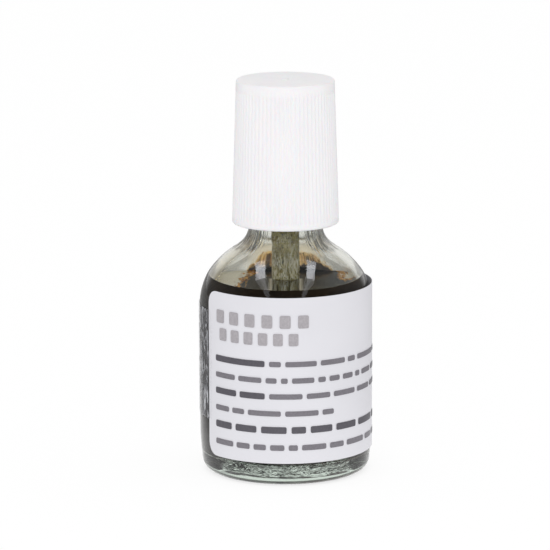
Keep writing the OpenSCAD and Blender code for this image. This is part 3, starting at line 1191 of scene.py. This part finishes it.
def cap_outline():
    """From the nub on top, down the outside, and up the bore to the axis."""
    rim = arc((cap_rim_r - CAP_EDGE_R, cap_lo.z + CAP_EDGE_R), CAP_EDGE_R, -90, 0, 5)
    top = arc((cap_top_r - CAP_EDGE_R, cap_hi.z - CAP_EDGE_R), CAP_EDGE_R, 0, 90, 5)
    low_r, low_z = rim[-1]
    high_r, high_z = top[0]
    heights = [skirt_low - RIB_END_OUT, skirt_low + RIB_END_IN]
    heights += [skirt_high - RIB_END_IN, skirt_high + RIB_END_OUT]
    skirt = [(low_r + (high_r - low_r) * (z - low_z) / (high_z - low_z), z) for z in heights]
    gate_z = cap_hi.z - GATE_DEEP
    gate = [(GATE_R, cap_hi.z), (0.8 * GATE_R, gate_z), (1.4 * GATE_NUB_R, gate_z)]
    gate += [(GATE_NUB_R, cap_hi.z - 0.1 * GATE_DEEP), (0, cap_hi.z - 0.05 * GATE_DEEP)]
    hollow_top = cap_hi.z - CAP_TOP_T
    bore = [(HOLLOW_R, hollow_top), (HOLLOW_R, ledge_z), (SEAT_R, ledge_z), (SEAT_R, flange_z)]
    bore += [(SEAT_R - BEAD_IN, flange_z - BEAD_H / 2), (SEAT_R, flange_z - BEAD_H), (SEAT_R, lip_z)]
    bore += [(THREAD_BORE_R, lip_z), (THREAD_BORE_R, cap_lo.z + BORE_EASE)]
    bore += [(THREAD_BORE_R + BORE_EASE, cap_lo.z)]
    return gate[::-1] + top[::-1] + skirt[::-1] + rim[::-1] + bore[::-1] + [(0, hollow_top)]


cap = turn("ribbed_cap", cap_outline(), RIB_COUNT * RIB_COLUMNS)

# %% [markdown]
# Fine upright ribs give it grip. The shell is turned with eight columns to a rib, and the columns
# between the ribs are then drawn in towards the axis. Cutting seventy-two grooves with booleans
# would give the same shape and a much worse mesh.

# %% Ribs
def in_flute(place, column):
    """Whether a place on the outside of the skirt is in this column of a rib."""
    turn_share = math.atan2(place.y, place.x) / math.tau * RIB_COUNT * RIB_COLUMNS
    fits = round(turn_share) % RIB_COLUMNS == column
    on_skin = math.hypot(place.x, place.y) > THREAD_BORE_R + SKIN_MARGIN
    return fits and on_skin and skirt_low < place.z < skirt_high


edit(cap)
for column in range(2, RIB_COLUMNS - 1):
    share = math.sin(math.pi * (column - 1) / (RIB_COLUMNS - 2))
    select_where(cap, lambda place: in_flute(place, column))
    shrink = 1 - FLUTE_DEPTH * share / cap_rim_r
    bpy.ops.transform.resize(value=(shrink, shrink, 1), center_override=(0, 0, 0))
close_up(cap)

# %% [markdown]
# Moulded white plastic has a satin skin: a fine orange peel, faint marks of its flow and a little
# light that travels under the surface. The partner of the neck's thread gets the same finish.

# %% Cap finish
CAP_WHITE = (0.855, 0.845, 0.862)
PALE_CAP_WHITE = (0.885, 0.873, 0.890)

satin = Finish("satin_white_plastic")
cx, cy, cz = satin.axes()
orange_peel = satin.grain(satin.place(), 1800.0, 3.0, 0.55)
flow = satin.grain(satin.vector(cx, cy, cz * 0.25), 0.25, 2.0, 0.5)
satin.surface(
    Base_Color=satin.ramp(flow, (0.3, CAP_WHITE), (0.7, PALE_CAP_WHITE)),
    Roughness=0.34 + orange_peel * 0.1,
    Normal=satin.bump(orange_peel, 0.01 * MM, 0.5),
    Subsurface_Weight=0.12,
    Subsurface_Scale=1.2 * MM,
)
dress(cap, satin, "brush_cap", "cap_plastic", "cap_shell")

cap_thread = thread("cap_thread", THREAD_BORE_R, -1, NECK_THREAD_Z - THREAD_PITCH / 2)
dress(cap_thread, satin, "brush_cap", "cap_plastic")

# %% [markdown]
# ## Brush stem
# The brush hangs from the cap on a hollow stem with a flange that snaps into the cap and a spigot
# above it. Below the seal it is wet: the liquid clings to it in runs, which a Displace modifier
# pushes out of the mesh.

# %% Stem
STEM_R = 2.25 * MM
STEM_CORE_R = 1.1 * MM
STEM_EDGE = 0.25 * MM
STEM_RINGS = 90
STEM_STEPS = 64
FLANGE_EDGE = 0.1 * MM
SPIGOT_WALL = 0.9 * MM
SPIGOT_EDGE = 0.2 * MM
TUFT_HOLE_R = 1.5 * MM
TUFT_HOLE_DEPTH = 4.0 * MM
SNAP_GAP = 0.03 * MM
DRY_LENGTH = 1.0 * MM
WET_FADE = 3 * MM
RUN_DEPTH = 0.16 * MM
RUN_SIZE = 1.1 * MM
SKIN_TOLERANCE = 0.01 * MM

flange_r = SEAT_R - SNAP_GAP
spigot_r = HOLLOW_R - SNAP_GAP
cup_r = spigot_r - SPIGOT_WALL
tuft_top_z = stem_lo.z + TUFT_HOLE_DEPTH
wet_top_z = flange_z - DRY_LENGTH


def stem_outline():
    """From the tuft's hole, up the outside to the spigot, and down the core to the axis."""
    hole = [(0, tuft_top_z), (TUFT_HOLE_R, tuft_top_z), (TUFT_HOLE_R, stem_lo.z)]
    tip = arc((STEM_R - STEM_EDGE, stem_lo.z + STEM_EDGE), STEM_EDGE, -90, 0, 4)
    low, high = tip[-1][1], flange_z
    shank = [(STEM_R, low + (high - low) * i / STEM_RINGS) for i in range(1, STEM_RINGS + 1)]
    flange = [(flange_r - FLANGE_EDGE, flange_z), (flange_r, flange_z + FLANGE_EDGE)]
    spigot = [(flange_r, ledge_z), (spigot_r, ledge_z)]
    spigot += [(spigot_r, stem_hi.z - SPIGOT_EDGE), (spigot_r - SPIGOT_EDGE, stem_hi.z)]
    cup = [(cup_r, stem_hi.z), (cup_r, ledge_z), (STEM_CORE_R, ledge_z)]
    core_end = tuft_top_z + STEM_R
    return hole + tip + shank + flange + spigot + cup + [(STEM_CORE_R, core_end), (0, core_end)]


stem = turn("brush_shank", stem_outline(), STEM_STEPS)
wet = stem.vertex_groups.new(name="wet")
for vert in stem.data.vertices:
    outer = math.hypot(vert.co.x, vert.co.y) > STEM_R - SKIN_TOLERANCE
    if outer and stem_lo.z + STEM_EDGE < vert.co.z < wet_top_z:
        wet.add([vert.index], min(1.0, (wet_top_z - vert.co.z) / WET_FADE), "REPLACE")
runs_texture = bpy.data.textures.new("runs", "CLOUDS")
runs_texture.noise_scale = RUN_SIZE
runs_texture.noise_depth = 2
apply_modifier(
    stem, "DISPLACE", texture=runs_texture, texture_coords="LOCAL", strength=RUN_DEPTH,
    mid_level=0.5, vertex_group="wet",
)

# %% [markdown]
# The plastic is stained olive. The pale glints in its wet film are painted highlights, and the dark
# lines between them are painted shade. In the liquid it is soaked, and under the flange it stays dry.

# %% Stem finish
DRY_FADE = (48.0, 51.0)
SOAK_FADE = (27.0, 31.5)
SKIN_LOW = (30.5, 32.0)
SKIN_HIGH = (34.0, 36.0)
OLIVE = (0.27, 0.22, 0.080)
MID_OLIVE = (0.48, 0.41, 0.165)
PALE_OLIVE = (0.72, 0.63, 0.32)

stained = Finish("stained_polyethylene")
sx, sy, sz = stained.axes()
crinkle = stained.grain(stained.vector(sx, sy, sz * 0.35), 1.6, 4.0, 0.65, 1.6)
blotch = stained.grain(stained.vector(sx, sy, sz * 0.5), 0.7, 3.0, 0.6, 0.8)
painted_light_noise = stained.grain(stained.vector(sx * 2.0, sy * 2.0, sz * 0.55), 1.0, 5.0, 0.7, 2.2)
dry = sz.rise(*DRY_FADE)
soaked = 1.0 - sz.rise(*SOAK_FADE)
# A band just above the liquid, where the painted glints are denser.
near_skin = sz.rise(*SKIN_LOW) * (1.0 - sz.rise(*SKIN_HIGH))
# Painted highlights: pale glints mixed into the colour.
bright = (painted_light_noise + near_skin * 0.08).rise(0.55, 0.62)
wet_colour_and_painted_light = stained.ramp(blotch, (0.3, OLIVE), (0.5, MID_OLIVE), (0.72, PALE_OLIVE))
wet_colour_and_painted_light = stained.mix(bright, wet_colour_and_painted_light, (0.92, 0.88, 0.70))
# Painted shade: dark lines between the glints.
wet_colour_and_painted_light = stained.mix(1.0 - painted_light_noise.rise(0.37, 0.45), wet_colour_and_painted_light, (0.05, 0.04, 0.02))
wet_colour_and_painted_light = stained.mix(soaked, wet_colour_and_painted_light, (0.03, 0.026, 0.018))
stained.surface(
    Base_Color=stained.mix(dry, wet_colour_and_painted_light, (0.62, 0.60, 0.52)),
    Roughness=0.12 + dry * 0.3,
    Coat_Weight=0.6,
    Coat_Roughness=0.04,
    Normal=stained.bump(crinkle, 0.6 * MM, 0.8),
)
dress(stem, stained, "brush_cap", "stem_plastic", "brush_stem")

# %% [markdown]
# ## Bristles
# A tuft of fine nylon strands fills the hole in the stem's tip. One strand is modelled as a thin
# five-sided rod with a bowed middle and a blunt, tapered end. Hair would be quicker to make, but its
# strands are no meshes.

# %% Strand
STRAND_COUNT = 380
STRAND_R = 0.05 * MM
STRAND_SIDES = 5
STRAND_CUTS = (0.35, 0.65, 0.85)
STRAND_BOW = 0.05 * MM
TIP_SCALE = 0.45
SPLAY = math.radians(2.4)
LEAN_VARY = (-0.008, 0.006)
LENGTH_VARY = (0, 0.03)
TIP_ROUND = 1.6 * MM
ROOT_IN = 0.5 * MM
GOLDEN_ANGLE = math.radians(137.508)
PLUG_UP = 0.1 * MM
PLUG_TOP_GAP = 1.3 * MM
PLUG_STEPS = 24

plug_r = TUFT_HOLE_R - SNAP_GAP
tuft_ring_r = plug_r - STRAND_R
strand_length = stem_lo.z - tuft_lo.z + ROOT_IN
strand_draws = random.Random(5)


def model_strand():
    """One strand that hangs down from the origin, with a bowed middle and a tapered tip."""
    deselect_all()
    bpy.ops.mesh.primitive_cylinder_add(
        vertices=STRAND_SIDES, radius=STRAND_R, depth=strand_length, location=(0, 0, -strand_length / 2)
    )
    strand = bpy.context.object
    bpy.ops.object.transform_apply(location=True)
    bpy.ops.object.mode_set(mode="EDIT")
    for share in STRAND_CUTS:
        cut_across((0, 0, -strand_length * share), (0, 0, 1))
    select_where(strand, lambda place: place.z < -strand_length * 0.99)
    bpy.ops.transform.resize(value=(TIP_SCALE, TIP_SCALE, 1), center_override=(0, 0, -strand_length))
    select_where(strand, lambda place: -strand_length * 0.75 < place.z < -strand_length * 0.5)
    bpy.ops.transform.translate(value=(STRAND_BOW, 0, 0))
    bpy.ops.object.mode_set(mode="OBJECT")
    return strand


strand = model_strand()
print(f"one strand, {strand_length / MM:.1f} mm long")

# %% [markdown]
# The strand is copied round a sunflower spiral, which spaces the roots evenly. Every copy has its own
# mesh, leans out a little and is cut to a round tip. A plug closes the hole round the roots.

# %% Tuft
tuft = []
for i in range(STRAND_COUNT):
    out_share = math.sqrt((i + 0.5) / STRAND_COUNT)
    lean = SPLAY * out_share + strand_draws.uniform(*LEAN_VARY)
    length = 1 - TIP_ROUND / strand_length * out_share**2 - strand_draws.uniform(*LENGTH_VARY)
    root = Vector((out_share * tuft_ring_r, 0, 0))
    spot = Matrix.Rotation(GOLDEN_ANGLE * i, 4, "Z") @ Matrix.Translation(root)
    twist = Matrix.Rotation(strand_draws.uniform(0, math.tau), 4, "Z")
    shape = Matrix.Rotation(-lean, 4, "Y") @ twist @ Matrix.Diagonal((1, 1, length, 1))
    copy = bpy.data.objects.new("strand", strand.data.copy())
    copy.data.transform(Matrix.Translation((0, 0, stem_lo.z + ROOT_IN)) @ spot @ shape)
    bpy.context.collection.objects.link(copy)
    tuft.append(copy)
plug_low = stem_lo.z + PLUG_UP
plug_high = tuft_top_z - PLUG_TOP_GAP
plug_line = [(0, plug_low), (plug_r, plug_low), (plug_r, plug_high), (0, plug_high)]
root_plug = turn("bristles", plug_line, PLUG_STEPS)
bpy.data.objects.remove(strand)
bristles = join(root_plug, tuft)
print(f"bristles: {STRAND_COUNT} strands, {len(bristles.data.polygons)} faces")

# %% [markdown]
# Wet bristles are almost black and cling together. Noise that is drawn out along them varies colour
# and roughness from clump to clump, and a thin coat stands for the liquid.

# %% Bristle finish
nylon = Finish("wet_nylon")
bx, by, bz = nylon.axes()
clumps = nylon.grain(nylon.vector(bx * 3.0, by * 3.0, bz * 0.3), 1.5, 3.0, 0.6)
nylon.surface(
    Base_Color=nylon.ramp(clumps, (0.3, (0.012, 0.010, 0.009)), (0.75, (0.07, 0.06, 0.05))),
    Roughness=0.18 + clumps * 0.25,
    Coat_Weight=0.5,
    Coat_Roughness=0.08,
)
dress(bristles, nylon, "brush_cap", "bristle_nylon", "bristle_tuft")

# %% [markdown]
# ## Anchor plate
# A small brass plate pins the folded bristles in the stem. Its shape in the frame is right, so it
# stays and only gets its finish, with the fine marks that drawing leaves along the wire.

# %% Anchor
brass = Finish("drawn_brass")
along_wire = brass.node("ShaderNodeMapping", None, {"Vector": brass.place(), "Scale": (1, 12, 12)})
draw_marks = brass.grain(along_wire, 900.0, 3.0)
brass.surface(
    Base_Color=brass.ramp(draw_marks, (0.3, (0.66, 0.47, 0.20)), (0.7, (0.78, 0.60, 0.29))),
    Metallic=1.0,
    Roughness=0.25 + draw_marks * 0.2,
)
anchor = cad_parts["tuft_anchor"]
anchor.data.materials.clear()
anchor.data.materials.append(brass.material)
print("anchor has", brass.material.name)

# %% [markdown]
# ## Sealing wad
# The seal is a ring of soft foam between lip and flange, dented by the glass. The dent is in the
# outline that is turned, and the small cells of the foam are in its bump.

# %% Wad
WAD_EDGE = 0.15 * MM
WAD_CLEAR = 0.35 * MM
WAD_STEPS = 96
DENT = 0.05 * MM

wad_out = wad_hi.x
wad_in = STEM_R + WAD_CLEAR
wad_points = arc((wad_out - WAD_EDGE, wad_hi.z - WAD_EDGE), WAD_EDGE, 0, 90, 4)
wad_points += arc((wad_in + WAD_EDGE, wad_hi.z - WAD_EDGE), WAD_EDGE, 90, 180, 4)
wad_points += [(wad_in, wad_lo.z), (bore_r, wad_lo.z), (bore_r + DENT, wad_lo.z + DENT)]
wad_points += [(wad_out - DENT, wad_lo.z + DENT), (wad_out, wad_lo.z + 2 * DENT)]
wad = turn("foam_wad", wad_points, WAD_STEPS, closed=True)

foam = Finish("wad_foam")
cells = foam.node("ShaderNodeTexVoronoi", None, {"Vector": foam.place(), "Scale": 3200.0})
foam.surface(
    Base_Color=foam.ramp(cells, (0.1, (0.72, 0.72, 0.68)), (0.6, (0.84, 0.84, 0.80))),
    Roughness=0.8,
    Normal=foam.bump(cells, 0.04 * MM, 0.6),
)
dress(wad, foam, "seal", "wad_foam", "sealing_wad")
